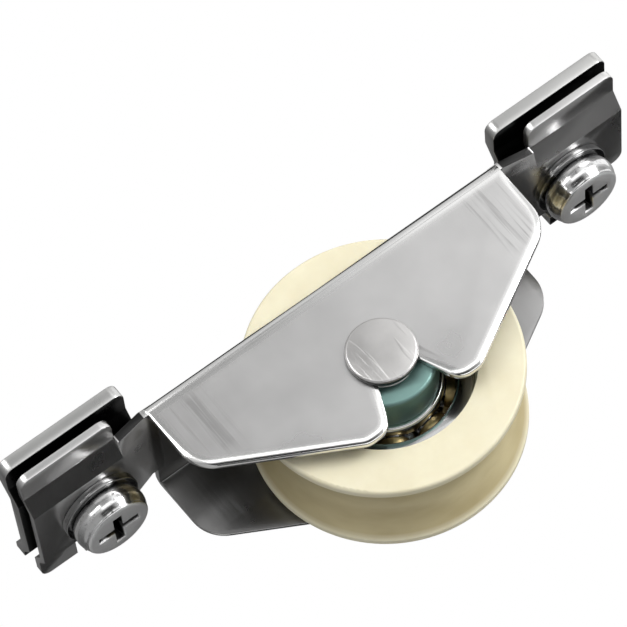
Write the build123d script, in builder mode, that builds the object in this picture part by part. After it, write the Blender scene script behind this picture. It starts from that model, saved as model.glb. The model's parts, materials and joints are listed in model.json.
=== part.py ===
from build123d import *
import os

# Sliding door roller: a grooved wheel on a ball bearing, carried by a folded
# channel whose two ears clamp the flange of a door's bottom rail.
# Millimetres. The origin is the middle of the wheel on its axis: X runs along
# the track, Y along the axle with the front side plate at -Y, and Z is up.

# ---- wheel and bearing ----
WHEEL_R = 17.0
WHEEL_HALF_WIDTH = 7.0
FLANGE_LAND = 1.1
GROOVE_DEPTH = 2.3
WHEEL_EDGE = 0.4

BORE_R = 4.0
INNER_RING_R = 7.2
OUTER_RING_BORE_R = 8.6
BEARING_R = 11.0
BEARING_HALF_WIDTH = 3.5
BALL_COUNT = 9
BALL_R = 1.8
BALL_PITCH_R = 7.9
RACE_GROOVE_R = 1.85
RING_CHAMFER = 0.3
HUB_LIP_R = 10.8
HUB_MOUTH_R = 11.3

# ---- ball cage ----
CAGE_SHEET = 0.3
CAGE_POCKET_R = 1.95
CAGE_INNER_R = 7.35
CAGE_OUTER_R = 8.45
CAGE_RIVET_R = 0.3
CAGE_RIVET_HEAD_R = 0.45
CAGE_RIVET_HEAD = 0.2

# ---- channel ----
SHEET = 1.0
CHANNEL_HALF_WIDTH = 9.8
PLATE_HALF_LENGTH = 26.2
WEB_TOP = 12.1
PLATE_BOTTOM = -8.5
PLATE_END_LOW = 1.75
PLATE_END_R = 5.0
LOBE_OUTER_X = 8.3
LOBE_INNER_X = 5.2
LOBE_R = 2.4
BEND_OUTER_R = 1.2
WHEEL_SLOT_HALF_LENGTH = 15.2
WHEEL_SLOT_HALF_WIDTH = 7.8
WHEEL_SLOT_CORNER_R = 1.5
NOTCH_TOP = -1.0
NOTCH_TOP_X = 2.06

# ---- axle ----
SPIGOT_R = 3.0
SPIGOT_HOLE_R = 3.02
HEAD_R = 4.4
HEAD_HEIGHT = 0.9
HEAD_EDGE = 0.25
COLLAR_R = 6.6
COLLAR_CHAMFER = 0.35

# ---- ears ----
NECK_FLAT_END = 27.0
NECK_FRONT_Y = -9.0
NECK_REAR_Y = 5.4
NECK_END_TOP = 11.4
ROOT_DISH = 0.05
EAR_START = 31.0
EAR_END = 44.0
EAR_TOP = 10.8
LIP_Y = 12.5
LIP_TOP = 12.4
RAMP_START_Y = 6.0
RAMP_END_Y = 8.5
EAR_CORNER_R = 1.4
CUT_CORNER_X = 40.0
CUT_CORNER_Y = 5.4

# ---- clamp plates ----
SCREW_X = 35.5
SCREW_Y = 0.5
JAW_GAP = 1.3
CLAMP_SHEET = 1.8
CLAMP_START = 27.5
CLAMP_END = 44.6
CLAMP_REAR_Y = 9.6
CLAMP_FLANGE_TOP = 16.2
CLAMP_FLANGE_INSET = 1.8
CLAMP_CORNER_R = 1.4
TAB_HALF_WIDTH = 3.0
TAB_BOTTOM = 9.6
TAB_CLEARANCE = 0.3

# ---- M5 clamp screws ----
THREAD_R = 2.5
CLEARANCE_HOLE_R = 2.75
SCREW_LENGTH = 10.0
SCREW_HEAD_R = 4.8
SCREW_SEAT_R = 4.4
SCREW_HEAD_HEIGHT = 3.3
SCREW_HEAD_EDGE = 0.5
SCREW_FACE_R = 4.0
SCREW_TIP = 0.5
UNDER_HEAD_GAP = 0.05
RECESS_WIDTH = 1.3
RECESS_SPAN = 5.8
RECESS_DEPTH = 2.0
RECESS_TAPER = 12
WASHER_R = 5.2
WASHER_HOLE_R = 2.65
WASHER_THICKNESS = 1.0
NUT_ACROSS_FLATS = 8.0
NUT_HEIGHT = 2.7
NUT_BORE_R = 2.55

WEB_UNDER = WEB_TOP - SHEET
PLATE_INSIDE = CHANNEL_HALF_WIDTH - SHEET
EAR_UNDER = EAR_TOP - SHEET
CLAMP_UNDER = EAR_TOP + JAW_GAP
CLAMP_TOP = CLAMP_UNDER + CLAMP_SHEET
SIDES = (("left", -1), ("right", 1))

os.makedirs("parts", exist_ok=True)


def sheet_outline(top, thickness):
    """Closed section of a pressed sheet, from its top line, front to rear."""
    return top + [(y, z - thickness) for y, z in reversed(top)]


def neck_top(front_z, middle_z):
    """Top line of the neck: its front edge, the ramp, and the middle to the rear edge."""
    return [(NECK_FRONT_Y, front_z), (-RAMP_START_Y, middle_z), (NECK_REAR_Y, middle_z)]


# ---- frame: one folded and pressed stainless strip ----
with BuildPart() as frame:
    with BuildSketch(Plane.YZ) as channel_section:
        with Locations((0, (WEB_TOP + PLATE_BOTTOM) / 2)):
            Rectangle(2 * CHANNEL_HALF_WIDTH, WEB_TOP - PLATE_BOTTOM)
        fillet(channel_section.vertices().group_by(Axis.Y)[-1], BEND_OUTER_R)
        offset(amount=-SHEET, mode=Mode.SUBTRACT)
        with Locations((0, PLATE_BOTTOM)):
            Rectangle(2 * PLATE_INSIDE, 4 * SHEET, mode=Mode.SUBTRACT)
    extrude(amount=PLATE_HALF_LENGTH, both=True)

    # both side plates trimmed to the same outline, with the notch under the axle
    with BuildSketch(Plane.XZ) as plate_outline:
        with BuildLine():
            Polyline(
                (0, WEB_TOP),
                (PLATE_HALF_LENGTH, WEB_TOP),
                (PLATE_HALF_LENGTH, PLATE_END_LOW),
                (LOBE_OUTER_X, PLATE_BOTTOM),
                (LOBE_INNER_X, PLATE_BOTTOM),
                (NOTCH_TOP_X, NOTCH_TOP),
                (0, NOTCH_TOP),
                close=True,
            )
        make_face()
        fillet(plate_outline.vertices().group_by(Axis.Y)[0], LOBE_R)
        end_corner = plate_outline.vertices().filter_by(
            lambda v: abs(v.X - PLATE_HALF_LENGTH) < 0.01 and abs(v.Y - PLATE_END_LOW) < 0.01
        )
        fillet(end_corner, PLATE_END_R)
        mirror(about=Plane.YZ)
        Circle(SPIGOT_HOLE_R, mode=Mode.SUBTRACT)
    extrude(amount=2 * CHANNEL_HALF_WIDTH, both=True, mode=Mode.INTERSECT)

    # slot in the web for the top of the wheel
    with BuildSketch(Plane.XY.offset(WEB_UNDER - SHEET)):
        RectangleRounded(
            2 * WHEEL_SLOT_HALF_LENGTH, 2 * WHEEL_SLOT_HALF_WIDTH, WHEEL_SLOT_CORNER_R
        )
    extrude(amount=3 * SHEET, mode=Mode.SUBTRACT)

    for side, sign in SIDES:
        # flat root of the neck, then the joggle down to the ear's dished middle
        root_outline = sheet_outline(neck_top(WEB_TOP, WEB_TOP - ROOT_DISH), SHEET)
        with BuildSketch(Plane.YZ.offset(sign * (PLATE_HALF_LENGTH - SHEET))):
            Polygon(*root_outline, align=None)
        extrude(amount=sign * (NECK_FLAT_END - PLATE_HALF_LENGTH + SHEET))
        with BuildSketch(Plane.YZ.offset(sign * NECK_FLAT_END)):
            Polygon(*root_outline, align=None)
        with BuildSketch(Plane.YZ.offset(sign * EAR_START)):
            Polygon(*sheet_outline(neck_top(NECK_END_TOP, EAR_TOP), SHEET), align=None)
        loft(ruled=True)
        # ear, with a lip at the front and at the rear
        ear_top = [
            (-LIP_Y, LIP_TOP),
            (-RAMP_END_Y, LIP_TOP),
            (-RAMP_START_Y, EAR_TOP),
            (RAMP_START_Y, EAR_TOP),
            (RAMP_END_Y, LIP_TOP),
            (LIP_Y, LIP_TOP),
        ]
        with BuildSketch(Plane.YZ.offset(sign * EAR_START)):
            Polygon(*sheet_outline(ear_top, SHEET), align=None)
        extrude(amount=sign * (EAR_END - EAR_START))
        with BuildSketch(Plane.XY.offset(EAR_UNDER - SHEET)):
            with Locations((sign * SCREW_X, SCREW_Y)):
                Circle(CLEARANCE_HOLE_R)
            # notch in the rear edge for the clamp plate's guide tab
            with Locations((sign * SCREW_X, LIP_Y)):
                Rectangle(
                    2 * (TAB_HALF_WIDTH + TAB_CLEARANCE),
                    2 * (LIP_Y - CLAMP_REAR_Y + CLAMP_SHEET + TAB_CLEARANCE),
                )
        extrude(amount=5 * SHEET, mode=Mode.SUBTRACT)

    # the right ear's rear outer corner is cropped
    with BuildSketch(Plane.XY.offset(EAR_UNDER - SHEET)):
        with Locations((CUT_CORNER_X, CUT_CORNER_Y)):
            Rectangle(LIP_Y, LIP_Y, align=(Align.MIN, Align.MIN))
    extrude(amount=5 * SHEET, mode=Mode.SUBTRACT)

    ear_corners = frame.edges().filter_by(Axis.Z).filter_by(
        lambda e: abs(e.center().X) > EAR_END - 0.1
    )
    fillet(ear_corners, EAR_CORNER_R)

frame.part.label = "frame"
export_step(frame.part, "parts/frame.step")


# ---- axle: a shouldered pin, riveted over both side plates ----
with BuildPart() as axle_pin:
    with BuildSketch(Plane.XY) as axle_section:
        with BuildLine():
            Polyline(
                (0, 0),
                (BORE_R, 0),
                (BORE_R, PLATE_INSIDE),
                (SPIGOT_R, PLATE_INSIDE),
                (SPIGOT_R, CHANNEL_HALF_WIDTH),
                (HEAD_R, CHANNEL_HALF_WIDTH),
                (HEAD_R, CHANNEL_HALF_WIDTH + HEAD_HEIGHT),
                (0, CHANNEL_HALF_WIDTH + HEAD_HEIGHT),
                close=True,
            )
        make_face()
        head_rim = axle_section.vertices().group_by(Axis.Y)[-1].sort_by(Axis.X)[-1]
        chamfer(head_rim, HEAD_EDGE)
    revolve(axis=Axis.Y)
    mirror(about=Plane.XZ)

axle_pin.part.label = "axle_pin"
export_step(axle_pin.part, "parts/axle_pin.step")


# ---- collars between the bearing and the side plates ----
for name, sign in (("front_collar", -1), ("rear_collar", 1)):
    with BuildPart() as collar:
        with BuildSketch(Plane.XY) as collar_section:
            with Locations(((COLLAR_R + BORE_R) / 2, sign * (PLATE_INSIDE + BEARING_HALF_WIDTH) / 2)):
                Rectangle(COLLAR_R - BORE_R, PLATE_INSIDE - BEARING_HALF_WIDTH)
            chamfer(collar_section.vertices().group_by(Axis.X)[-1], COLLAR_CHAMFER)
        revolve(axis=Axis.Y)
    collar.part.label = name
    export_step(collar.part, f"parts/{name}.step")


# ---- deep-groove ball bearing ----
def ring_section(inner_r, outer_r):
    """Half section of a bearing ring, its race cut by the ball groove."""
    with BuildSketch(Plane.XY) as section:
        with Locations(((inner_r + outer_r) / 2, 0)):
            Rectangle(outer_r - inner_r, 2 * BEARING_HALF_WIDTH)
        chamfer(section.vertices(), RING_CHAMFER)
        with Locations((BALL_PITCH_R, 0)):
            Circle(RACE_GROOVE_R, mode=Mode.SUBTRACT)
    return section.sketch


with BuildPart() as bearing_inner_ring:
    add(ring_section(BORE_R, INNER_RING_R))
    revolve(axis=Axis.Y)

bearing_inner_ring.part.label = "bearing_inner_ring"
export_step(bearing_inner_ring.part, "parts/bearing_inner_ring.step")


with BuildPart() as bearing_outer_ring:
    add(ring_section(OUTER_RING_BORE_R, BEARING_R))
    revolve(axis=Axis.Y)

bearing_outer_ring.part.label = "bearing_outer_ring"
export_step(bearing_outer_ring.part, "parts/bearing_outer_ring.step")


with BuildPart(Plane.XZ) as bearing_balls:
    with PolarLocations(BALL_PITCH_R, BALL_COUNT):
        Sphere(BALL_R)

bearing_balls.part.label = "bearing_balls"
export_step(bearing_balls.part, "parts/bearing_balls.step")


# each half of the cage is a pressed ribbon with a pocket round every ball
for name, sign in (("bearing_cage_front", 1), ("bearing_cage_rear", -1)):
    with BuildPart(Plane.XZ) as cage_half:
        with PolarLocations(BALL_PITCH_R, BALL_COUNT):
            Sphere(CAGE_POCKET_R + CAGE_SHEET)
        with Locations((0, 0, sign * CAGE_SHEET / 2)):
            Cylinder(CAGE_OUTER_R, CAGE_SHEET)
        with PolarLocations(BALL_PITCH_R, BALL_COUNT):
            Sphere(CAGE_POCKET_R, mode=Mode.SUBTRACT)
        with BuildSketch(Plane.XZ):
            Circle(CAGE_OUTER_R)
            Circle(CAGE_INNER_R, mode=Mode.SUBTRACT)
            with PolarLocations(BALL_PITCH_R, BALL_COUNT, start_angle=180 / BALL_COUNT):
                Circle(CAGE_RIVET_R, mode=Mode.SUBTRACT)
        extrude(amount=sign * 2 * BALL_R, mode=Mode.INTERSECT)
    cage_half.part.label = name
    export_step(cage_half.part, f"parts/{name}.step")


with BuildPart(Plane.XZ) as cage_rivets:
    with PolarLocations(BALL_PITCH_R, BALL_COUNT, start_angle=180 / BALL_COUNT):
        Cylinder(CAGE_RIVET_R, 2 * CAGE_SHEET)
    for sign in (-1, 1):
        with BuildSketch(Plane.XZ.offset(sign * CAGE_SHEET)):
            with PolarLocations(BALL_PITCH_R, BALL_COUNT, start_angle=180 / BALL_COUNT):
                Circle(CAGE_RIVET_HEAD_R)
        extrude(amount=sign * CAGE_RIVET_HEAD)

cage_rivets.part.label = "cage_rivets"
export_step(cage_rivets.part, "parts/cage_rivets.step")


# ---- wheel: moulded nylon tyre with a round groove for the rail ----
groove_half_width = WHEEL_HALF_WIDTH - FLANGE_LAND
groove_r = (groove_half_width**2 + GROOVE_DEPTH**2) / (2 * GROOVE_DEPTH)

with BuildPart() as wheel:
    with BuildSketch(Plane.XY) as wheel_section:
        with BuildLine():
            seat = Polyline(
                (HUB_MOUTH_R, -WHEEL_HALF_WIDTH),
                (HUB_LIP_R, -BEARING_HALF_WIDTH - RING_CHAMFER),
                (HUB_LIP_R, -BEARING_HALF_WIDTH),
                (BEARING_R, -BEARING_HALF_WIDTH),
                (BEARING_R, BEARING_HALF_WIDTH),
                (HUB_LIP_R, BEARING_HALF_WIDTH),
                (HUB_LIP_R, BEARING_HALF_WIDTH + RING_CHAMFER),
                (HUB_MOUTH_R, WHEEL_HALF_WIDTH),
            )
            rear_land = Polyline(
                seat @ 1,
                (WHEEL_R, WHEEL_HALF_WIDTH),
                (WHEEL_R, groove_half_width),
            )
            groove = RadiusArc(rear_land @ 1, (WHEEL_R, -groove_half_width), -groove_r)
            Polyline(groove @ 1, (WHEEL_R, -WHEEL_HALF_WIDTH), seat @ 0)
        make_face()
        rim_corners = wheel_section.vertices().filter_by(
            lambda v: abs(v.X - WHEEL_R) < 0.01 and abs(abs(v.Y) - WHEEL_HALF_WIDTH) < 0.01
        )
        fillet(rim_corners, WHEEL_EDGE)
    revolve(axis=Axis.Y)

wheel.part.label = "wheel"
export_step(wheel.part, "parts/wheel.step")


# ---- clamp plates, screws, washers and nuts, one set at each ear ----
clamp_lip_top = CLAMP_TOP + LIP_TOP - EAR_TOP
clamp_top_line = [
    (-LIP_Y, clamp_lip_top),
    (-RAMP_END_Y, clamp_lip_top),
    (-RAMP_START_Y, CLAMP_TOP),
    (RAMP_START_Y, CLAMP_TOP),
    (RAMP_END_Y, clamp_lip_top),
    (CLAMP_REAR_Y, clamp_lip_top),
]

for side, sign in SIDES:
    with BuildPart() as clamp_plate:
        with BuildSketch(Plane.YZ.offset(sign * CLAMP_START)):
            Polygon(*sheet_outline(clamp_top_line, CLAMP_SHEET), align=None)
        extrude(amount=sign * (CLAMP_END - CLAMP_START))
        fillet(
            clamp_plate.edges().filter_by(Axis.Z).group_by(Axis.Y)[0], CLAMP_CORNER_R
        )
        # rear edge turned up on both sides of the tab, which is turned down
        with BuildSketch(Plane.XY.offset(clamp_lip_top - CLAMP_SHEET)):
            with Locations((sign * (CLAMP_START + CLAMP_END) / 2, CLAMP_REAR_Y)):
                Rectangle(
                    CLAMP_END - CLAMP_START - 2 * CLAMP_FLANGE_INSET,
                    CLAMP_SHEET,
                    align=(Align.CENTER, Align.MAX),
                )
            with Locations((sign * SCREW_X, CLAMP_REAR_Y)):
                Rectangle(
                    2 * (TAB_HALF_WIDTH + TAB_CLEARANCE),
                    CLAMP_SHEET,
                    align=(Align.CENTER, Align.MAX),
                    mode=Mode.SUBTRACT,
                )
        extrude(amount=CLAMP_FLANGE_TOP - clamp_lip_top + CLAMP_SHEET)
        with BuildSketch(Plane.XY.offset(TAB_BOTTOM)):
            with Locations((sign * SCREW_X, CLAMP_REAR_Y)):
                Rectangle(2 * TAB_HALF_WIDTH, CLAMP_SHEET, align=(Align.CENTER, Align.MAX))
        extrude(amount=clamp_lip_top - TAB_BOTTOM)
        with BuildSketch(Plane.XY.offset(CLAMP_UNDER - 1)):
            with Locations((sign * SCREW_X, SCREW_Y)):
                Circle(CLEARANCE_HOLE_R)
        extrude(amount=CLAMP_SHEET + 2, mode=Mode.SUBTRACT)
    clamp_plate.part.label = f"clamp_plate_{side}"
    export_step(clamp_plate.part, f"parts/clamp_plate_{side}.step")

    with BuildPart() as clamp_nut:
        with BuildSketch(Plane.XY.offset(CLAMP_TOP)):
            with Locations((sign * SCREW_X, SCREW_Y)):
                RegularPolygon(NUT_ACROSS_FLATS / 2, 6, major_radius=False)
                Circle(NUT_BORE_R, mode=Mode.SUBTRACT)
        extrude(amount=NUT_HEIGHT)
    clamp_nut.part.label = f"clamp_nut_{side}"
    export_step(clamp_nut.part, f"parts/clamp_nut_{side}.step")

    with BuildPart() as screw_washer:
        with BuildSketch(Plane.XY.offset(EAR_UNDER - WASHER_THICKNESS)):
            with Locations((sign * SCREW_X, SCREW_Y)):
                Circle(WASHER_R)
                Circle(WASHER_HOLE_R, mode=Mode.SUBTRACT)
        extrude(amount=WASHER_THICKNESS)
    screw_washer.part.label = f"screw_washer_{side}"
    export_step(screw_washer.part, f"parts/screw_washer_{side}.step")

    # pan-head screw, head down: driven from below
    seat_z = EAR_UNDER - WASHER_THICKNESS - UNDER_HEAD_GAP
    head_z = seat_z - SCREW_HEAD_HEIGHT
    with BuildPart() as clamp_screw:
        with BuildSketch(Plane.XZ.offset(-SCREW_Y)):
            with BuildLine():
                shank = Polyline(
                    (sign * SCREW_X, head_z),
                    (sign * SCREW_X, seat_z + SCREW_LENGTH),
                    (sign * SCREW_X + THREAD_R - SCREW_TIP, seat_z + SCREW_LENGTH),
                    (sign * SCREW_X + THREAD_R, seat_z + SCREW_LENGTH - SCREW_TIP),
                    (sign * SCREW_X + THREAD_R, seat_z),
                    (sign * SCREW_X + SCREW_SEAT_R, seat_z),
                )
                side_wall = ThreePointArc(
                    shank @ 1,
                    (sign * SCREW_X + SCREW_HEAD_R, seat_z - SCREW_HEAD_HEIGHT / 2),
                    (sign * SCREW_X + SCREW_SEAT_R, head_z + SCREW_HEAD_EDGE),
                )
                edge = RadiusArc(side_wall @ 1, (sign * SCREW_X + SCREW_FACE_R, head_z), SCREW_HEAD_EDGE)
                Line(edge @ 1, shank @ 0)
            make_face()
        revolve(axis=Axis((sign * SCREW_X, SCREW_Y, 0), (0, 0, 1)))
        # cross recess
        with BuildSketch(Plane.XY.offset(head_z)):
            with Locations((sign * SCREW_X, SCREW_Y)):
                Rectangle(RECESS_SPAN, RECESS_WIDTH)
                Rectangle(RECESS_WIDTH, RECESS_SPAN)
        extrude(amount=RECESS_DEPTH, taper=RECESS_TAPER, mode=Mode.SUBTRACT)
    clamp_screw.part.label = f"clamp_screw_{side}"
    export_step(clamp_screw.part, f"parts/clamp_screw_{side}.step")
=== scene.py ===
import json
import math

import bmesh
import bpy
from mathutils import Matrix, Vector


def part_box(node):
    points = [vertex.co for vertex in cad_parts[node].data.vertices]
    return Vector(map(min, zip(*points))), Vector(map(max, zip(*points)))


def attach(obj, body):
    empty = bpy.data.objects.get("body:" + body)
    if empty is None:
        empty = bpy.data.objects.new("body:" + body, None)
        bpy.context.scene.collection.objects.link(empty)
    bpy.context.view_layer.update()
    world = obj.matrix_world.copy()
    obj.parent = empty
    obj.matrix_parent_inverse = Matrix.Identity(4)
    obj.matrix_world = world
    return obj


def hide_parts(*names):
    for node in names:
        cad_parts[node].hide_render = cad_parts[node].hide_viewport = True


# Sliding door roller. Metres, in the CAD model's frame: X runs along the track,
# Y along the axle with the front side plate at -Y, and Z is up.

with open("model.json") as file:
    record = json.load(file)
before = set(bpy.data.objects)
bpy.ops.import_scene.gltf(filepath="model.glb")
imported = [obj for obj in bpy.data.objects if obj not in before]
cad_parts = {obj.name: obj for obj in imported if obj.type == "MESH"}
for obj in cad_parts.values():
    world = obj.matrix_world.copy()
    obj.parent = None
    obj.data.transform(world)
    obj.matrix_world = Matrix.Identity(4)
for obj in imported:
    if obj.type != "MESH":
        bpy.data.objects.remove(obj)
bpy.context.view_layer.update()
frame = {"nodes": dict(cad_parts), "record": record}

# ---- places on the roller, each pair a least and a most ----
MM = 0.001
FAR = 1.0  # past everything on the roller
screw_low, screw_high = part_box("clamp_screw_right")
SCREW_X = (screw_low.x + screw_high.x) / 2
SCREW_Y = (screw_low.y + screw_high.y) / 2
_, head_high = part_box("axle_pin")
HEAD_RADIUS = head_high.z

PLATE_Y = 9.8 * MM  # outer face of each side plate
EAR_START = 31.0 * MM
LIP_Y = 12.5 * MM

PLATES_X = (-FAR, 26.6 * MM)
INSIDE_Y = (-FAR, 8.9 * MM)
INSIDE_Z = (-9.0 * MM, 11.3 * MM)
BORDER_Y = (8.9 * MM, 9.79 * MM)
SCUFF_X = (18.5 * MM, 26.0 * MM)
SCUFF_Z = (0.0, 11.0 * MM)
JAW_X = (27.2 * MM, 60.0 * MM)
NECK_X = (26.7 * MM, 30.9 * MM)
NECK_EDGE_Y = (8.9 * MM, 9.3 * MM)
HEAD_FOOT_RADII = (4.2 * MM, 5.0 * MM)
HEAD_FOOT_Y = (9.7 * MM, 10.5 * MM)
GROOVE_Y = (-6.0 * MM, 6.0 * MM)
GROOVE_RADII = (14.0 * MM, 16.95 * MM)
SCREW_FACE_Z = (4.5 * MM, 5.7 * MM)
RECESS_Z = (5.5 * MM, 7.7 * MM)
RECESS_RADII = (-FAR, 3.2 * MM)
SEAT_Z = (8.2 * MM, 9.9 * MM)

# ---- colours ----
STAINLESS = (0.74, 0.735, 0.73)
CLAMP_STEEL = (0.60, 0.60, 0.59)
AXLE_STEEL = (0.66, 0.65, 0.64)
COLLAR_GREEN = (0.22, 0.36, 0.335)
BEARING_STEEL = (0.72, 0.72, 0.72)
CAGE_BRASS = (0.42, 0.33, 0.16)
PLATED_STEEL = (0.75, 0.75, 0.75)
# Polished rolled border of the side plates, lighter than the sheet: a painted highlight
POLISHED_BORDER_AND_HIGHLIGHT = (0.86, 0.86, 0.85)
# Rough scuffed screw face, painted lighter than the plating as a painted highlight
SCUFFED_FACE_AND_HIGHLIGHT = (0.92, 0.92, 0.92)
CREAM = ((0.77, 0.71, 0.51), (0.83, 0.78, 0.58))
KHAKI = ((0.46, 0.38, 0.20), (0.62, 0.54, 0.32))
# Near-black painted shade for the gap between the jaws and for the necks
JAW_PAINTED_SHADE = (0.045, 0.045, 0.045)
# Painted shadow round the foot of the axle's head
HEAD_FOOT_SHADOW = (0.04, 0.04, 0.04)
# Painted shade on the washers and the heads' seats under the ears
SEAT_PAINTED_SHADE = (0.06, 0.06, 0.06)
# Painted shade inside the screws' cross recesses
RECESS_PAINTED_SHADE = (0.03, 0.03, 0.03)

# ---- camera ----
CAMERA_PLACE = Vector((-0.1440, -0.5210, -0.2265))
CAMERA_AZIMUTH = 15.414
CAMERA_ELEVATION = 23.970
CAMERA_ROLL = 41.298
CAMERA_LENS = 281.88


def make_camera():
    """Long lens, looking up at the roller from below and in front."""
    data = bpy.data.cameras.new("camera")
    data.lens = CAMERA_LENS
    data.sensor_width = 36
    data.clip_start = 0.01
    data.clip_end = 20
    camera = bpy.data.objects.new("camera", data)
    bpy.context.scene.collection.objects.link(camera)
    azimuth = math.radians(CAMERA_AZIMUTH)
    elevation = math.radians(CAMERA_ELEVATION)
    forward = Vector((
        math.sin(azimuth) * math.cos(elevation),
        math.cos(azimuth) * math.cos(elevation),
        math.sin(elevation),
    ))
    right = forward.cross(Vector((0, 0, 1))).normalized()
    up = right.cross(forward)
    turn = Matrix.Rotation(math.radians(CAMERA_ROLL), 3, forward)
    right, up = turn @ right, turn @ up
    rotation = Matrix((right, up, -forward)).transposed()
    camera.matrix_world = Matrix.Translation(CAMERA_PLACE) @ rotation.to_4x4()
    bpy.context.scene.camera = camera


# ---- material helpers ----
class Shader:
    """A Principled material with short ways to add and wire nodes."""

    def __init__(self, name):
        self.material = bpy.data.materials.new(name)
        self.material.use_nodes = True
        self.tree = self.material.node_tree
        self.bsdf = self.tree.nodes["Principled BSDF"]
        coordinates = self.tree.nodes.new("ShaderNodeTexCoord")
        self.place = coordinates.outputs["Object"]
        self.facing = coordinates.outputs["Normal"]

    def feed(self, node, key, value):
        """Fills a node's input with a number, a colour or another node's output."""
        socket = node.inputs[key]
        if isinstance(value, bpy.types.NodeSocket):
            self.tree.links.new(value, socket)
        elif isinstance(value, tuple):
            socket.default_value = (*value, 1)
        else:
            socket.default_value = value

    def set(self, **values):
        """Fills the Principled shader's inputs, named with _ for each space."""
        for name, value in values.items():
            self.feed(self.bsdf, name.replace("_", " "), value)

    def scaled(self, scale, angle=0):
        """Object coordinates, turned about Y and then stretched, for patterns with a direction."""
        mapping = self.tree.nodes.new("ShaderNodeMapping")
        self.feed(mapping, "Vector", self.place)
        mapping.inputs["Rotation"].default_value = (0, math.radians(angle), 0)
        mapping.inputs["Scale"].default_value = scale
        return mapping.outputs["Vector"]

    def noise(self, scale, detail=4, rough=0.55, vector=None):
        node = self.tree.nodes.new("ShaderNodeTexNoise")
        self.feed(node, "Vector", vector or self.place)
        self.feed(node, "Scale", scale)
        self.feed(node, "Detail", detail)
        self.feed(node, "Roughness", rough)
        return node.outputs["Fac"]

    def ramp(self, source, stops):
        """Maps a value to colours. Each stop is a position and a colour or a grey."""
        node = self.tree.nodes.new("ShaderNodeValToRGB")
        self.feed(node, "Fac", source)
        elements = node.color_ramp.elements
        while len(elements) < len(stops):
            elements.new(0.5)
        for element, (position, colour) in zip(elements, stops):
            element.position = position
            if not isinstance(colour, tuple):
                colour = (colour, colour, colour)
            element.color = (*colour, 1)
        return node.outputs["Color"]

    def math(self, operation, first, second=0, clamp=False):
        node = self.tree.nodes.new("ShaderNodeMath")
        node.operation = operation
        node.use_clamp = clamp
        self.feed(node, 0, first)
        self.feed(node, 1, second)
        return node.outputs["Value"]

    def times(self, first, *others):
        """The product of all the values."""
        for other in others:
            first = self.math("MULTIPLY", first, other)
        return first

    def distance(self, first, second):
        """Length of the two values taken as the sides of a right angle."""
        return self.math("SQRT", self.math("ADD", self.times(first, first), self.times(second, second)))

    def mix(self, factor, first, second):
        node = self.tree.nodes.new("ShaderNodeMix")
        node.data_type = "RGBA"
        self.feed(node, 0, factor)
        self.feed(node, 6, first)
        self.feed(node, 7, second)
        return node.outputs[2]

    def part(self, vector, name):
        """The X, Y or Z of a vector."""
        node = self.tree.nodes.new("ShaderNodeSeparateXYZ")
        self.feed(node, "Vector", vector)
        return node.outputs[name]

    def axis(self, name):
        """One coordinate in the object's frame, in metres."""
        return self.part(self.place, name)

    def reach(self, name):
        """Distance either way along one axis."""
        return self.math("ABSOLUTE", self.axis(name))

    def radius(self):
        """Distance from the axle's line."""
        return self.distance(self.axis("X"), self.axis("Z"))

    def band(self, value, limits, soft):
        """One between the limits, falling to zero over soft at each side."""
        low, high = limits
        rise = self.math("DIVIDE", self.math("SUBTRACT", value, low), soft, clamp=True)
        fall = self.math("DIVIDE", self.math("SUBTRACT", high, value), soft, clamp=True)
        return self.times(rise, fall)

    def blend(self, factor, low, high):
        """Low where the factor is zero and high where it is one."""
        return self.math("ADD", self.times(factor, high - low), low)

    def bump(self, height, strength, distance, below=None):
        node = self.tree.nodes.new("ShaderNodeBump")
        self.feed(node, "Height", height)
        self.feed(node, "Strength", strength)
        self.feed(node, "Distance", distance)
        if below is not None:
            self.feed(node, "Normal", below)
        return node.outputs["Normal"]


def shade(colour, share):
    return tuple(share * c for c in colour)


RUB_ANGLE = -33


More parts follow.
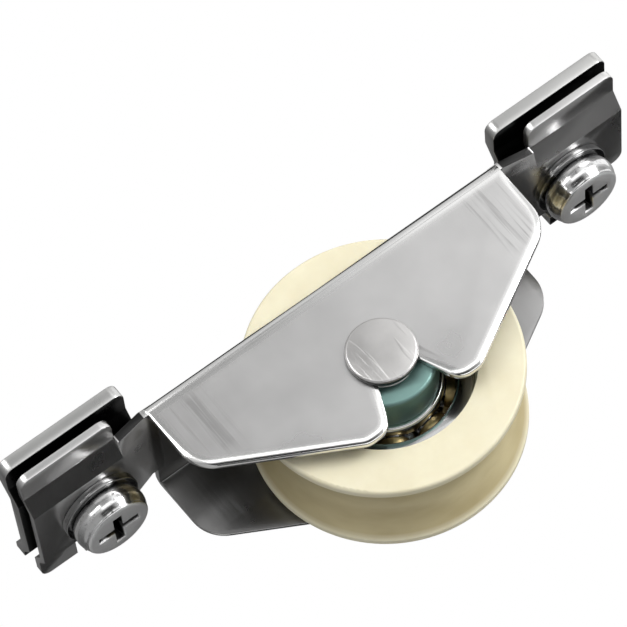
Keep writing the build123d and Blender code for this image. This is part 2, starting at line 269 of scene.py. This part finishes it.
def sheet_steel(name, colour, wear_and_painted_light, jaw):
    """Satin stainless sheet: fine grain, scuffed ends, polished rolled borders painted lighter as a painted
    highlight, and painted shade inside the channel.

    The wear switch is 1 for a sheet with scuffs, polished borders with their painted highlight and painted
    shade on the necks, or 0.
    jaw is the sign of Z on the faces that grip the door's rail, which are painted near black as painted
    shade in the gap between the jaws.
    """
    s = Shader(name)
    cloud = s.noise(120, detail=3, rough=0.6)
    grain = s.noise(3000, detail=3, rough=0.7)
    streak = s.noise(1000, detail=3, rough=0.6, vector=s.scaled((1.0, 1.0, 0.04), RUB_ANGLE))
    fine = s.noise(900, detail=2, rough=0.6, vector=s.scaled((1.0, 1.0, 0.03), RUB_ANGLE))
    along, across, height = s.reach("X"), s.reach("Y"), s.axis("Z")

    ends = s.times(s.band(along, SCUFF_X, 2.5 * MM), s.band(height, SCUFF_Z, 2.0 * MM))
    scuff = s.times(s.ramp(streak, ((0.50, 0.0), (0.62, 0.8))), ends, wear_and_painted_light)
    plates = s.band(along, PLATES_X, 0.4 * MM)
    inside = s.times(s.band(across, INSIDE_Y, 0.05 * MM), plates, s.band(height, INSIDE_Z, 0.1 * MM))
    rolled = s.times(s.band(across, BORDER_Y, 0.03 * MM), wear_and_painted_light, plates)
    # the faces that grip the rail face each other across a shaded gap and get painted shade
    upward = s.times(s.part(s.facing, "Z"), jaw)
    grip = s.math("MULTIPLY", s.math("SUBTRACT", upward, 0.5), 8.0, clamp=True)
    grip = s.times(grip, s.band(along, JAW_X, 0.2 * MM))
    # painted shadow: a strip of each neck that lies in the screw head's shadow
    neck = s.times(s.band(along, NECK_X, 0.1 * MM), s.band(across, NECK_EDGE_Y, 0.05 * MM), wear_and_painted_light)

    tone = s.ramp(cloud, ((0.3, shade(colour, 0.93)), (0.7, colour)))
    tone = s.mix(scuff, tone, shade(colour, 0.45))
    # painted shade: the channel's inside faces are darkened for the shade between the side plates and under
    # the web
    tone = s.mix(inside, tone, shade(colour, 0.36))
    # painted highlight: the polished rolled borders are painted lighter than the sheet
    tone = s.mix(rolled, tone, POLISHED_BORDER_AND_HIGHLIGHT)
    # painted shade: the jaw faces and the neck strips are painted near black
    tone = s.mix(s.math("MAXIMUM", grip, neck), tone, JAW_PAINTED_SHADE)
    rough = s.math("ADD", s.blend(cloud, 0.24, 0.34), s.times(scuff, 0.12))
    rough = s.math("SUBTRACT", rough, s.times(rolled, 0.14))
    coarse = s.bump(s.times(fine, ends), 0.35, 0.05 * MM)
    s.set(Metallic=1.0, Base_Color=tone, Roughness=rough, Normal=s.bump(grain, 0.12, 0.02 * MM, coarse))
    return s.material


def turned_steel(name, colour, low, high, scratches=()):
    """Turned or ground steel, low to high rough.

    scratches lists the angle and scale of each set of scratches on the axle's head,
    which also gets a painted shadow round its foot, where it meets the side plate.
    """
    s = Shader(name)
    cloud = s.noise(300, detail=3)
    tone = s.ramp(cloud, ((0.3, shade(colour, 0.9)), (0.7, colour)))
    if scratches:
        # painted shadow round the foot of the axle's head, where it meets the side plate
        foot = s.times(
            s.band(s.radius(), HEAD_FOOT_RADII, 0.05 * MM), s.band(s.reach("Y"), HEAD_FOOT_Y, 0.1 * MM)
        )
        tone = s.mix(foot, tone, HEAD_FOOT_SHADOW)
    normal = s.bump(s.noise(3000, detail=2), 0.08, 0.02 * MM)
    for angle, scale in scratches:
        lines = s.noise(scale, detail=1, vector=s.scaled((1.0, 1.0, 0.12), angle))
        normal = s.bump(s.ramp(lines, ((0.60, 0.0), (0.66, 1.0))), 0.35, 0.05 * MM, normal)
    s.set(Metallic=1.0, Base_Color=tone, Roughness=s.blend(cloud, low, high), Normal=normal)
    return s.material


def nylon(name):
    """Cream moulded nylon: soft sheen, faint mottling, a scuffed and dusty groove."""
    s = Shader(name)
    s.set(Roughness=0.42, IOR=1.53, Subsurface_Weight=0.12, Subsurface_Scale=0.4 * MM)
    s.bsdf.inputs["Subsurface Radius"].default_value = (1.0, 0.8, 0.45)
    mottle = s.noise(260, detail=4)
    dust = s.noise(90, detail=3, vector=s.scaled((1.0, 3.0, 1.0)))
    groove = s.times(s.band(s.axis("Y"), GROOVE_Y, 0.8 * MM), s.band(s.radius(), GROOVE_RADII, 0.25 * MM))
    cream = s.ramp(mottle, ((0.3, CREAM[0]), (0.7, CREAM[1])))
    khaki = s.ramp(dust, ((0.3, KHAKI[0]), (0.75, KHAKI[1])))
    coarse = s.bump(mottle, 0.10, 0.05 * MM)
    normal = s.bump(s.noise(2600, detail=2), 0.10, 0.02 * MM, coarse)
    s.set(Base_Color=s.mix(groove, cream, khaki), Normal=normal)
    return s.material


def plated(name, colour, low, high):
    """Bright plated steel of the screws, nuts and washers: scuffed faces that are rougher and painted
    lighter as a painted highlight, painted shade on the washers' seats, and painted shade in the recesses.
    """
    s = Shader(name)
    cloud = s.noise(500, detail=4)
    speck = s.noise(2400, detail=3)
    height = s.axis("Z")
    from_screw = s.distance(
        s.math("SUBTRACT", s.reach("X"), SCREW_X), s.math("SUBTRACT", s.axis("Y"), SCREW_Y)
    )
    face = s.band(height, SCREW_FACE_Z, 0.2 * MM)
    # painted shade on the washers and the seat of each screw head, next to the ear
    seat = s.times(s.band(height, SEAT_Z, 0.15 * MM), 0.7)
    # painted shade in the cross recess of each screw head
    recess = s.times(s.band(height, RECESS_Z, 0.3 * MM), s.band(from_screw, RECESS_RADII, 0.1 * MM))
    tone = s.ramp(speck, ((0.30, shade(colour, 0.6)), (0.42, colour)))
    # the screw faces are rougher from scuffing and painted lighter: a painted highlight
    tone = s.mix(face, tone, SCUFFED_FACE_AND_HIGHLIGHT)
    tone = s.mix(seat, tone, SEAT_PAINTED_SHADE)
    tone = s.mix(recess, tone, RECESS_PAINTED_SHADE)
    rough = s.math("ADD", s.blend(cloud, low, high), s.times(face, 0.42))
    s.set(Metallic=1.0, Base_Color=tone, Roughness=rough, Normal=s.bump(cloud, 0.10, 0.04 * MM))
    return s.material


HEAD_SCRATCHES = ((RUB_ANGLE, 900), (58, 800))
MATERIALS = {
    "sheet_steel": sheet_steel("sheet_steel", STAINLESS, wear_and_painted_light=1.0, jaw=1.0),
    "clamp_steel": sheet_steel("clamp_steel", CLAMP_STEEL, wear_and_painted_light=0.0, jaw=-1.0),
    "axle_steel": turned_steel("axle_steel", AXLE_STEEL, 0.25, 0.40, HEAD_SCRATCHES),
    "collar_finish": turned_steel("collar_finish", COLLAR_GREEN, 0.38, 0.55),
    "bearing_steel": turned_steel("bearing_steel", BEARING_STEEL, 0.10, 0.22),
    "cage_brass": turned_steel("cage_brass", CAGE_BRASS, 0.25, 0.40),
    "plated_steel": plated("plated_steel", PLATED_STEEL, 0.10, 0.24),
    "nylon": nylon("nylon"),
}

# ---- pieces ----
NEAR = 0.02 * MM
SMOOTH_ANGLE = 35
BEVEL_ANGLE = 30
FRAME_BEVEL = 0.09 * MM
PIECE_BEVEL = 0.12 * MM
ROLL_WIDTH = 1.3 * MM
ROLL_DEPTH = 0.38 * MM
ROLL_RINGS = 5
ROLL_TOP_Z = 11.0 * MM  # no roll above here, where the plate bends into the web
ROLL_FADE = 2.0 * MM
LIP_ROUND = 1.4 * MM
DETAILED_NODES = (
    "axle_pin", "front_collar", "rear_collar", "bearing_inner_ring", "bearing_outer_ring", "wheel",
    "clamp_plate_left", "clamp_plate_right", "clamp_nut_left", "clamp_nut_right",
    "screw_washer_left", "screw_washer_right", "clamp_screw_left", "clamp_screw_right",
)
PLAIN_NODES = ("bearing_balls", "bearing_cage_front", "bearing_cage_rear", "cage_rivets")
SLOTS = {entry["node"]: entry["material_slot"] for entry in frame["record"]["subparts"]}
BODIES = {n: body for body, nodes in frame["record"]["behaviour"]["bodies"].items() for n in nodes}


def cad_bmesh(node):
    """The CAD node's mesh, welded, with its flat faces merged."""
    bm = bmesh.new()
    bm.from_mesh(frame["nodes"][node].data)
    bmesh.ops.remove_doubles(bm, verts=bm.verts, dist=0.002 * MM)
    bmesh.ops.dissolve_limit(
        bm, angle_limit=math.radians(0.5), verts=bm.verts, edges=bm.edges, delimit=set()
    )
    return bm


def bevel(bm, edges, width, segments):
    bmesh.ops.bevel(
        bm, geom=edges, offset=width, segments=segments, profile=0.5, affect="EDGES", clamp_overlap=True
    )


def bevel_sharp(bm, width):
    """Rounds every sharp edge."""
    limit = math.radians(BEVEL_ANGLE)
    bevel(bm, [e for e in bm.edges if len(e.link_faces) == 2 and e.calc_face_angle() > limit], width, 2)


def roll_border(bm, side):
    """Rounds over the free border of a side plate: side is -1 at the front and 1 at the rear."""
    outer_y = side * PLATE_Y
    faces = [
        f for f in bm.faces
        if f.normal.y * side > 0.999 and abs(f.calc_center_median().y - outer_y) < NEAR
    ]
    inside = set(faces)
    done = 0.0
    for ring in range(ROLL_RINGS + 1):
        inset = ROLL_WIDTH * (1 - math.cos(math.pi / 2 * ring / ROLL_RINGS))
        if ring:
            bmesh.ops.inset_region(
                bm, faces=faces, thickness=inset - done, use_even_offset=True, use_boundary=True
            )
        done = inset
        fall = ROLL_DEPTH * (1 - math.sqrt(max(0.0, 1 - (1 - inset / ROLL_WIDTH) ** 2)))
        border = {
            v for f in faces for e in f.edges if not all(g in inside for g in e.link_faces) for v in e.verts
        }
        for v in border:
            fade = min(1.0, max(0.0, (ROLL_TOP_Z - v.co.z) / ROLL_FADE))
            if math.hypot(v.co.x, v.co.z) < HEAD_RADIUS:
                fade = 0.0
            v.co.y = side * (PLATE_Y - fall * fade)


def shape_frame(bm):
    """Rolls the side plates' borders over and rounds the inner ends of the ears' front lips."""
    for side in (-1, 1):
        roll_border(bm, side)
    lip_ends = [
        e for e in bm.edges
        if all(abs(abs(v.co.x) - EAR_START) < NEAR and abs(v.co.y + LIP_Y) < NEAR for v in e.verts)
    ]
    bevel(bm, lip_ends, LIP_ROUND, 6)


def finish_piece(name, mesh, nodes):
    """Names the mesh's object, shades it, and lets it stand for its CAD nodes."""
    piece = bpy.data.objects.new(name, mesh)
    bpy.context.scene.collection.objects.link(piece)
    mesh.shade_smooth()
    mesh.set_sharp_from_angle(angle=math.radians(SMOOTH_ANGLE))
    mesh.materials.clear()
    mesh.materials.append(MATERIALS[SLOTS[nodes[0]]])
    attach(piece, BODIES[nodes[0]])
    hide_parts(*nodes)


def detailed(node, width, shape=None):
    """A CAD node with its edges broken, in place of the node, after shape has worked on it."""
    bm = cad_bmesh(node)
    if shape:
        shape(bm)
    bevel_sharp(bm, width)
    mesh = bpy.data.meshes.new(node + "_detail")
    bm.to_mesh(mesh)
    bm.free()
    finish_piece(node + "_detail", mesh, [node])


# ---- studio ----
FLOOR_Z = -0.30
BRIGHT_SIDE = (0.45, -0.80, 0.10)
BRIGHT_WORLD = 0.75
DIM_WORLD = 0.10

# A glow lists a card's own brightness at places along X, or one brightness for the whole card.
NO_GLOW = ((0.0, 0.0),)
FULL_GLOW = ((0.0, 1.5),)
SIDE_GLOW = ((0.0, 1.2),)
LOW_GLOW = ((0.09, 0.01), (0.18, 0.40))
FRONT_GLOW = ((0.06, 0.34), (0.11, 0.40), (0.155, 0.62), (0.205, 0.66), (0.25, 1.15))

# Name, middle, width and height, paper value, glow.
CARDS = (
    ("flag_behind", (0.10, 0.36, -0.17), (0.50, 0.26), 0.01, NO_GLOW),
    ("flag_under", (-0.04, 0.0, -0.16), (0.20, 0.22), 0.02, NO_GLOW),
    ("shade_under", (0.12, 0.0, -0.16), (0.12, 0.22), 0.12, NO_GLOW),
    ("flag_high", (0.05, 0.20, 0.42), (0.5, 0.35), 0.05, NO_GLOW),
    ("flag_front", (0.02, -0.45, -0.21), (0.60, 0.20), 0.02, LOW_GLOW),
    ("paper_front", (0.12, -0.54, 0.25), (0.56, 0.34), 0.02, FRONT_GLOW),
    ("paper_level", (0.10, -0.50, 0.00), (0.60, 0.15), 0.02, FULL_GLOW),
    ("paper_below", (0.09, -0.24, -0.27), (0.50, 0.14), 0.02, FULL_GLOW),
    ("paper_right", (0.42, 0.02, 0.18), (0.45, 0.30), 0.02, SIDE_GLOW),
)

# Name, middle, width and watts. Each is square and faces the roller.
LIGHTS = (
    ("key", (0.50, -0.45, -0.12), 0.30, 2.9),
    ("fill", (-0.30, -0.45, 0.30), 0.35, 1.2),
)


def studio_material(name, value, glow=NO_GLOW):
    """Matt paper with its own glow."""
    s = Shader(name)
    paper = s.ramp(s.noise(3, detail=2), ((0.3, value * 0.97), (0.7, value)))
    s.set(Base_Color=paper, Roughness=0.9, Specular_IOR_Level=0.0)
    if len(glow) > 1:
        first, last = glow[0][0], glow[-1][0]
        along = s.math("DIVIDE", s.math("SUBTRACT", s.axis("X"), first), last - first, clamp=True)
        stops = [((x - first) / (last - first), g) for x, g in glow]
        s.set(Emission_Color=s.ramp(along, stops), Emission_Strength=1.0)
    else:
        s.set(Emission_Color=(1, 1, 1), Emission_Strength=glow[0][1])
    return s.material


def make_card(name, place, size, value, glow):
    """A flat card that faces the roller and shows only in reflections."""
    place = Vector(place)
    facing = -place.normalized()
    across = facing.cross(Vector((0, 0, 1))) if abs(facing.z) < 0.9 else Vector((1, 0, 0))
    across.normalize()
    upward = facing.cross(across)
    corners = [
        place + across * size[0] / 2 * i + upward * size[1] / 2 * j
        for i, j in ((-1, -1), (1, -1), (1, 1), (-1, 1))
    ]
    mesh = bpy.data.meshes.new(name)
    mesh.from_pydata(corners, [], [(0, 1, 2, 3)])
    mesh.materials.append(studio_material(name, value, glow))
    card = bpy.data.objects.new(name, mesh)
    bpy.context.scene.collection.objects.link(card)
    card.visible_camera = False
    card.visible_shadow = False
    card.visible_diffuse = False


def make_floor():
    bpy.ops.mesh.primitive_plane_add(size=8, location=(0, 0, FLOOR_Z))
    floor = bpy.context.object
    floor.name = "floor"
    floor.data.materials.append(studio_material("floor", 0.72))


def make_light(name, place, size, power):
    data = bpy.data.lights.new(name, "AREA")
    data.shape = "SQUARE"
    data.size = size
    data.energy = power
    light = bpy.data.objects.new(name, data)
    bpy.context.scene.collection.objects.link(light)
    light.location = place
    light.rotation_mode = "QUATERNION"
    light.rotation_quaternion = (-Vector(place)).to_track_quat("-Z", "Y")
    light.visible_camera = False


def make_world():
    """White studio: brightest in front and at the right, greyer above and behind."""
    world = bpy.data.worlds.new("world")
    world.use_nodes = True
    tree = world.node_tree
    background = tree.nodes["Background"]
    place = tree.nodes.new("ShaderNodeTexCoord")
    sides = tree.nodes.new("ShaderNodeVectorMath")
    sides.operation = "DOT_PRODUCT"
    sides.inputs[1].default_value = Vector(BRIGHT_SIDE).normalized()
    tree.links.new(place.outputs["Generated"], sides.inputs[0])
    half = tree.nodes.new("ShaderNodeMath")
    half.operation = "MULTIPLY_ADD"
    half.inputs[1].default_value = 0.5
    half.inputs[2].default_value = 0.5
    tree.links.new(sides.outputs["Value"], half.inputs[0])
    ramp = tree.nodes.new("ShaderNodeValToRGB")
    dim, bright = ramp.color_ramp.elements
    dim.position = 0.0
    dim.color = (DIM_WORLD, DIM_WORLD, DIM_WORLD, 1)
    bright.position = 0.9
    bright.color = (BRIGHT_WORLD, BRIGHT_WORLD, BRIGHT_WORLD, 1)
    tree.links.new(half.outputs["Value"], ramp.inputs["Fac"])
    seen = tree.nodes.new("ShaderNodeLightPath")
    paper = tree.nodes.new("ShaderNodeMix")
    paper.data_type = "RGBA"
    paper.inputs[7].default_value = (1, 1, 1, 1)
    tree.links.new(seen.outputs["Is Camera Ray"], paper.inputs[0])
    tree.links.new(ramp.outputs["Color"], paper.inputs[6])
    tree.links.new(paper.outputs[2], background.inputs["Color"])
    bpy.context.scene.world = world


# ---- scene ----
make_camera()
detailed("frame", FRAME_BEVEL, shape_frame)
for node in DETAILED_NODES:
    detailed(node, PIECE_BEVEL)
for node in PLAIN_NODES:
    cad = frame["nodes"][node]
    cad.data.materials.clear()
    cad.data.materials.append(MATERIALS[SLOTS[node]])
make_floor()
make_world()
for card in CARDS:
    make_card(*card)
for light in LIGHTS:
    make_light(*light)
bpy.context.scene.view_settings.view_transform = "Standard"
